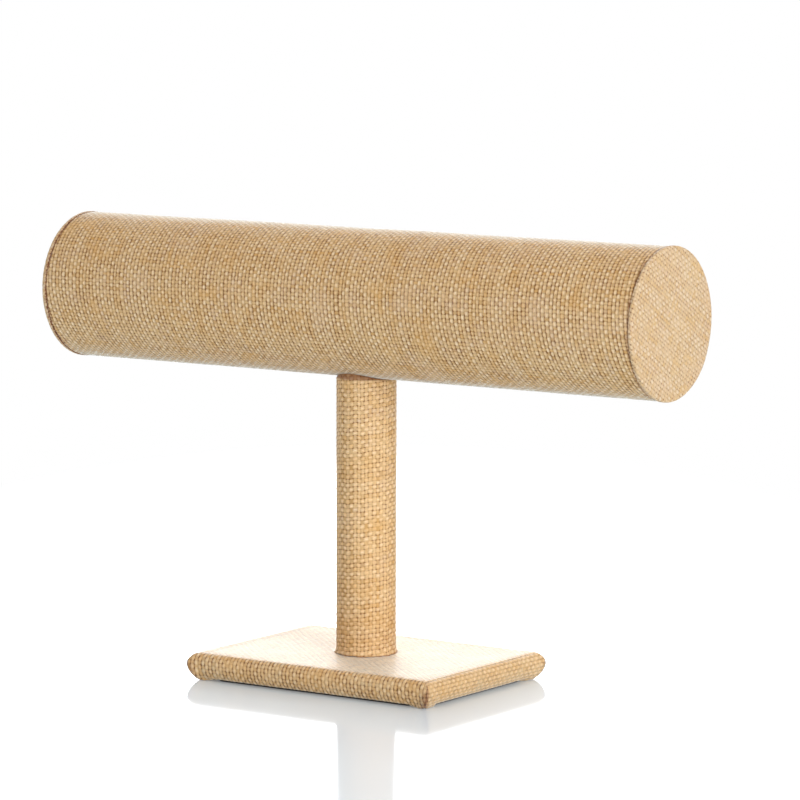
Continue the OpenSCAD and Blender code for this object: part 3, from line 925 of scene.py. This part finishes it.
# Glossy white floor that turns plain white away from the stand
def makeFloor(look):
    mesh = bpy.data.meshes.new("floor")
    h, z = look["half"], -look["below"]
    mesh.from_pydata([(-h, -h, z), (h, -h, z), (h, h, z), (-h, h, z)], [], [(0, 1, 2, 3)])
    material, tree, shader = newMaterial("floor gloss")
    shader.inputs["Base Color"].default_value = look["colour"]
    shader.inputs["Roughness"].default_value = look["rough"]
    shader.inputs["Specular IOR Level"].default_value = look["gloss"]
    output = next(n for n in tree.nodes if n.type == "OUTPUT_MATERIAL")
    place = tree.nodes.new("ShaderNodeTexCoord").outputs["Object"]
    spread = tree.nodes.new("ShaderNodeMapping")
    spread.vector_type = "TEXTURE"
    spread.inputs["Rotation"].default_value = (0, 0, math.radians(look["turn"]))
    spread.inputs["Scale"].default_value = (1, 1 / look["ahead"], 1)
    tree.links.new(place, spread.inputs["Vector"])
    length = tree.nodes.new("ShaderNodeVectorMath")
    length.operation = "LENGTH"
    tree.links.new(spread.outputs[0], length.inputs[0])
    away = between(tree, length.outputs["Value"], look["near"], look["far"], look["haze"])
    rays = tree.nodes.new("ShaderNodeLightPath")
    seen = calc(tree, "MAXIMUM", rays.outputs["Is Camera Ray"], rays.outputs["Is Glossy Ray"])
    white = tree.nodes.new("ShaderNodeEmission")
    mix = tree.nodes.new("ShaderNodeMixShader")
    tree.links.new(calc(tree, "MULTIPLY", away, seen), mix.inputs[0])
    tree.links.new(shader.outputs[0], mix.inputs[1])
    tree.links.new(white.outputs[0], mix.inputs[2])
    tree.links.new(mix.outputs[0], output.inputs[0])
    mesh.materials.append(material)
    floor = bpy.data.objects.new("floor", mesh)
    bpy.context.scene.collection.objects.link(floor)


makeFloor(floorLook)

lamps = {
    # name: place, size, power, colour
    "overhead": ((0.0, 0.45, 1.30), 1.1, 4.5, (1.0, 1.0, 1.0)),
    "right": ((1.30, -0.50, 0.45), 0.9, 14.5, (1.0, 0.985, 0.96)),
    "front": ((-0.10, -1.10, 0.06), 0.6, 2.4, (1.0, 0.98, 0.95)),
    "back": ((-0.90, 1.30, 0.45), 1.2, 24.0, (1.0, 1.0, 1.0)),
}
worldLook = {"light": 0.56, "seen": 1.0}


def makeLamps():
    aim = Vector((0, 0, barAxis * 0.6))
    for name, (place, size, power, colour) in lamps.items():
        data = bpy.data.lights.new(name, "AREA")
        data.size = size
        data.energy = power
        data.color = colour
        lamp = bpy.data.objects.new(name, data)
        lamp.location = place
        lamp.rotation_euler = (aim - Vector(place)).to_track_quat("-Z", "Y").to_euler()
        lamp.visible_camera = False
        bpy.context.scene.collection.objects.link(lamp)
    world = bpy.data.worlds.new("white room")
    bpy.context.scene.world = world
    world.use_nodes = True
    tree = world.node_tree
    sky = next(n for n in tree.nodes if n.type == "BACKGROUND")
    sky.inputs["Color"].default_value = (1, 1, 1, 1)
    rays = tree.nodes.new("ShaderNodeLightPath")
    seen = calc(tree, "MAXIMUM", rays.outputs["Is Camera Ray"], rays.outputs["Is Glossy Ray"])
    strength = between(tree, seen, 0, 1, worldLook["light"], worldLook["seen"], "LINEAR")
    tree.links.new(strength, sky.inputs["Strength"])


makeLamps()

view = {
    "azimuth": 34.27,
    "elevation": 6.97,
    "roll": 0.124,
    "distance": 1.7678,
    "lens": 202.15,
    "height": 0.11158,       # of the point looked at
    "right": 0.013117,       # and how far it lies to the right of the post
}


def makeCamera():
    azimuth, elevation = math.radians(view["azimuth"]), math.radians(view["elevation"])
    level = math.cos(elevation)
    back = Vector((math.sin(azimuth) * level, -math.cos(azimuth) * level, math.sin(elevation)))
    right = (-back).cross(Vector((0, 0, 1))).normalized()
    target = Vector((0, 0, view["height"])) + right * view["right"]
    data = bpy.data.cameras.new("camera")
    data.lens = view["lens"]
    data.sensor_width = 36.0
    data.clip_start = 0.05
    camera = bpy.data.objects.new("camera", data)
    bpy.context.scene.collection.objects.link(camera)
    camera.location = target + back * view["distance"]
    turned = (-back).to_track_quat("-Z", "Y").to_matrix()
    roll = Matrix.Rotation(math.radians(view["roll"]), 3, "Z")
    camera.rotation_euler = (turned @ roll).to_euler()
    bpy.context.scene.camera = camera


makeCamera()
scene = bpy.context.scene
scene.view_settings.view_transform = "Standard"
print("stage, lamps and camera set")
